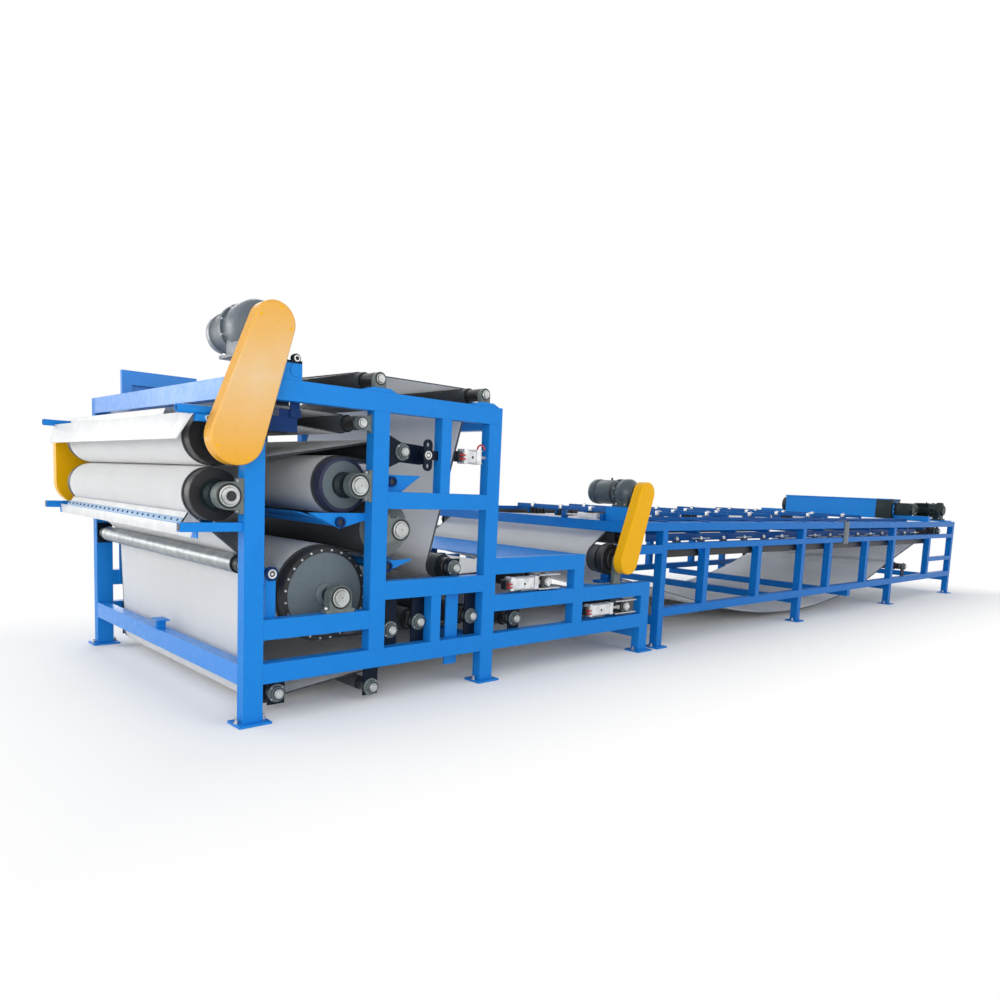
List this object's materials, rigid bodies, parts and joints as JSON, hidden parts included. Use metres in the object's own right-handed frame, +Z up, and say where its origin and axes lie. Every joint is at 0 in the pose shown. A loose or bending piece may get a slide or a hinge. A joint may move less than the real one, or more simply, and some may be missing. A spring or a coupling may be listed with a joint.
{
  "type": "belt filter press",
  "caption": "Belt filter press with a long gravity table, a tower of squeezing rollers, two press belts, chain drives and pneumatic belt tension.",
  "frame": {"origin": "on the floor, centred between the two front feet of the press frame", "axes": "+Z up, +X along the machine from the press to the feed end, +Y across it"},
  "size_m": [12.575, 2.948, 2.42],
  "materials": {
    "frame_blue": "glossy enamel paint",
    "guard_yellow": "glossy enamel paint",
    "motor_grey": "satin paint",
    "bearing_iron": "painted casting",
    "roller_rubber": "matt rubber cover",
    "drum_steel": "brushed",
    "belt_cloth": "woven filter cloth",
    "cylinder_aluminium": "anodised"
  },
  "bodies": {
    "frame": {"bearing_straps": "frame_blue", "belt_doctors": "frame_blue", "discharge_chute": "frame_blue", "feed_box": "frame_blue", "feed_gear_motor": "motor_grey", "foot_plates": "frame_blue", "idler_bearings": "bearing_iron", "lower_belt": "belt_cloth", "lower_scraper": "frame_blue", "motor_stands": "frame_blue", "nip_gear_guard": "guard_yellow", "pneumatic_cylinders": "cylinder_aluminium", "press_bearings": "bearing_iron", "press_chain_guard": "guard_yellow", "press_cross_beams": "frame_blue", "press_gear_motor": "motor_grey", "press_posts": "frame_blue", "press_rails": "frame_blue", "slot_brackets": "frame_blue", "splash_frame": "frame_blue", "table_belt": "belt_cloth", "table_chain_guard": "guard_yellow", "table_cross_beams": "frame_blue", "table_end_beam": "frame_blue", "table_gear_motor": "motor_grey", "table_grid_bars": "frame_blue", "table_ploughs": "frame_blue", "table_posts": "frame_blue", "table_rails": "frame_blue", "table_side_skirts": "frame_blue", "table_support_slats": "frame_blue", "tail_gear_motor": "motor_grey", "upper_belt": "belt_cloth", "upper_scraper": "frame_blue", "wash_box": "frame_blue"},
    "upper_nip_roller": {"upper_nip_roller": "roller_rubber"},
    "lower_nip_roller": {"lower_nip_roller": "roller_rubber"},
    "middle_roller": {"middle_roller": "roller_rubber"},
    "rear_roller": {"rear_roller": "roller_rubber"},
    "press_drum": {"press_drum": "drum_steel"},
    "crossover_roller": {"crossover_roller": "roller_rubber"},
    "upper_return_roller": {"upper_return_roller": "roller_rubber"},
    "upper_front_roller": {"upper_front_roller": "roller_rubber"},
    "top_front_roller": {"top_front_roller": "roller_rubber"},
    "top_rear_roller": {"top_rear_roller": "roller_rubber"},
    "upper_turn_roller": {"upper_turn_roller": "roller_rubber"},
    "upper_tension_roller": {"upper_tension_roller": "roller_rubber"},
    "wedge_roller_1": {"wedge_roller_1": "roller_rubber"},
    "wedge_roller_2": {"wedge_roller_2": "roller_rubber"},
    "wedge_roller_3": {"wedge_roller_3": "roller_rubber"},
    "guide_pipe_roller": {"guide_pipe_roller": "drum_steel"},
    "lower_turn_roller": {"lower_turn_roller": "roller_rubber"},
    "lower_return_roller": {"lower_return_roller": "roller_rubber"},
    "lower_tension_roller": {"lower_tension_roller": "roller_rubber"},
    "lower_support_roller": {"lower_support_roller": "roller_rubber"},
    "table_end_roller": {"table_end_roller": "roller_rubber"},
    "table_drive_roller": {"table_drive_roller": "roller_rubber"},
    "table_return_roller": {"table_return_roller": "roller_rubber"},
    "table_tail_roller": {"table_tail_roller": "roller_rubber"}
  },
  "joints": [
    {"name": "upper_nip_roller_spin", "type": "hinge", "parent": "frame", "child": "upper_nip_roller", "pos_m": [-0.145, 0, 1.64], "axis": [0, 1, 0], "continuous": true},
    {"name": "lower_nip_roller_spin", "type": "hinge", "parent": "frame", "child": "lower_nip_roller", "pos_m": [-0.145, 0, 1.32], "axis": [0, 1, 0], "continuous": true},
    {"name": "middle_roller_spin", "type": "hinge", "parent": "frame", "child": "middle_roller", "pos_m": [0.695, 0, 1.401], "axis": [0, 1, 0], "continuous": true},
    {"name": "rear_roller_spin", "type": "hinge", "parent": "frame", "child": "rear_roller", "pos_m": [1.015, 0, 1.123], "axis": [0, 1, 0], "continuous": true},
    {"name": "press_drum_spin", "type": "hinge", "parent": "frame", "child": "press_drum", "pos_m": [0.576, 0, 0.704], "axis": [0, 1, 0], "continuous": true},
    {"name": "crossover_roller_spin", "type": "hinge", "parent": "frame", "child": "crossover_roller", "pos_m": [1.062, 0, 1.632], "axis": [0, 1, 0], "continuous": true},
    {"name": "upper_return_roller_spin", "type": "hinge", "parent": "frame", "child": "upper_return_roller", "pos_m": [0.715, 0, 1.79], "axis": [0, 1, 0], "continuous": true},
    {"name": "upper_front_roller_spin", "type": "hinge", "parent": "frame", "child": "upper_front_roller", "pos_m": [0.19, 0, 1.932], "axis": [0, 1, 0], "continuous": true},
    {"name": "top_front_roller_spin", "type": "hinge", "parent": "frame", "child": "top_front_roller", "pos_m": [0.84, 0, 2.072], "axis": [0, 1, 0], "continuous": true},
    {"name": "top_rear_roller_spin", "type": "hinge", "parent": "frame", "child": "top_rear_roller", "pos_m": [1.73, 0, 2.072], "axis": [0, 1, 0], "continuous": true},
    {"name": "upper_turn_roller_spin", "type": "hinge", "parent": "frame", "child": "upper_turn_roller", "pos_m": [1.54, 0, 0.845], "axis": [0, 1, 0], "continuous": true},
    {"name": "upper_tension_roller_spin", "type": "hinge", "parent": "frame", "child": "upper_tension_roller", "pos_m": [2.46, 0, 0.705], "axis": [0, 1, 0], "continuous": true},
    {"name": "wedge_roller_1_spin", "type": "hinge", "parent": "frame", "child": "wedge_roller_1", "pos_m": [1.717, 0, 0.485], "axis": [0, 1, 0], "continuous": true},
    {"name": "wedge_roller_2_spin", "type": "hinge", "parent": "frame", "child": "wedge_roller_2", "pos_m": [1.237, 0, 0.485], "axis": [0, 1, 0], "continuous": true},
    {"name": "wedge_roller_3_spin", "type": "hinge", "parent": "frame", "child": "wedge_roller_3", "pos_m": [1.002, 0, 0.452], "axis": [0, 1, 0], "continuous": true},
    {"name": "guide_pipe_roller_spin", "type": "hinge", "parent": "frame", "child": "guide_pipe_roller", "pos_m": [0, 0, 0.92], "axis": [0, 1, 0], "continuous": true},
    {"name": "lower_turn_roller_spin", "type": "hinge", "parent": "frame", "child": "lower_turn_roller", "pos_m": [0.185, 0, 0.145], "axis": [0, 1, 0], "continuous": true},
    {"name": "lower_return_roller_spin", "type": "hinge", "parent": "frame", "child": "lower_return_roller", "pos_m": [0.86, 0, 0.084], "axis": [0, 1, 0], "continuous": true},
    {"name": "lower_tension_roller_spin", "type": "hinge", "parent": "frame", "child": "lower_tension_roller", "pos_m": [3.49, 0, 0.428], "axis": [0, 1, 0], "continuous": true},
    {"name": "lower_support_roller_spin", "type": "hinge", "parent": "frame", "child": "lower_support_roller", "pos_m": [2.165, 0, 0.428], "axis": [0, 1, 0], "continuous": true},
    {"name": "table_end_roller_spin", "type": "hinge", "parent": "frame", "child": "table_end_roller", "pos_m": [3.58, 0, 1.04], "axis": [0, 1, 0], "continuous": true},
    {"name": "table_drive_roller_spin", "type": "hinge", "parent": "frame", "child": "table_drive_roller", "pos_m": [3.35, 0, 0.845], "axis": [0, 1, 0], "continuous": true},
    {"name": "table_return_roller_spin", "type": "hinge", "parent": "frame", "child": "table_return_roller", "pos_m": [10.24, 0, 0.50475], "axis": [0, 1, 0], "continuous": true},
    {"name": "table_tail_roller_spin", "type": "hinge", "parent": "frame", "child": "table_tail_roller", "pos_m": [11.56, 0, 1.02], "axis": [0, 1, 0], "continuous": true}
  ],
  "couplings": [
    {"joint": "upper_nip_roller_spin", "follows": "press_drum_spin", "ratio": 2},
    {"joint": "lower_nip_roller_spin", "follows": "press_drum_spin", "ratio": -2},
    {"joint": "middle_roller_spin", "follows": "press_drum_spin", "ratio": 1.7143},
    {"joint": "rear_roller_spin", "follows": "press_drum_spin", "ratio": -1.579},
    {"joint": "crossover_roller_spin", "follows": "press_drum_spin", "ratio": -4.2857},
    {"joint": "upper_return_roller_spin", "follows": "press_drum_spin", "ratio": -5.4546},
    {"joint": "upper_front_roller_spin", "follows": "press_drum_spin", "ratio": 5.4546},
    {"joint": "top_front_roller_spin", "follows": "press_drum_spin", "ratio": 5.4546},
    {"joint": "top_rear_roller_spin", "follows": "press_drum_spin", "ratio": 5.4546},
    {"joint": "upper_turn_roller_spin", "follows": "press_drum_spin", "ratio": -3.5294},
    {"joint": "upper_tension_roller_spin", "follows": "press_drum_spin", "ratio": 3.5294},
    {"joint": "wedge_roller_1_spin", "follows": "press_drum_spin", "ratio": 4},
    {"joint": "wedge_roller_2_spin", "follows": "press_drum_spin", "ratio": 4},
    {"joint": "wedge_roller_3_spin", "follows": "press_drum_spin", "ratio": 6.6667},
    {"joint": "guide_pipe_roller_spin", "follows": "press_drum_spin", "ratio": 5.2632},
    {"joint": "lower_turn_roller_spin", "follows": "press_drum_spin", "ratio": -3.3333},
    {"joint": "lower_return_roller_spin", "follows": "press_drum_spin", "ratio": 6.6667},
    {"joint": "lower_tension_roller_spin", "follows": "press_drum_spin", "ratio": -3.5294},
    {"joint": "lower_support_roller_spin", "follows": "press_drum_spin", "ratio": -4.2857},
    {"joint": "table_end_roller_spin", "follows": "table_drive_roller_spin", "ratio": 1.4375},
    {"joint": "table_return_roller_spin", "follows": "table_drive_roller_spin", "ratio": -2.0909},
    {"joint": "table_tail_roller_spin", "follows": "table_drive_roller_spin", "ratio": 1.15}
  ]
}
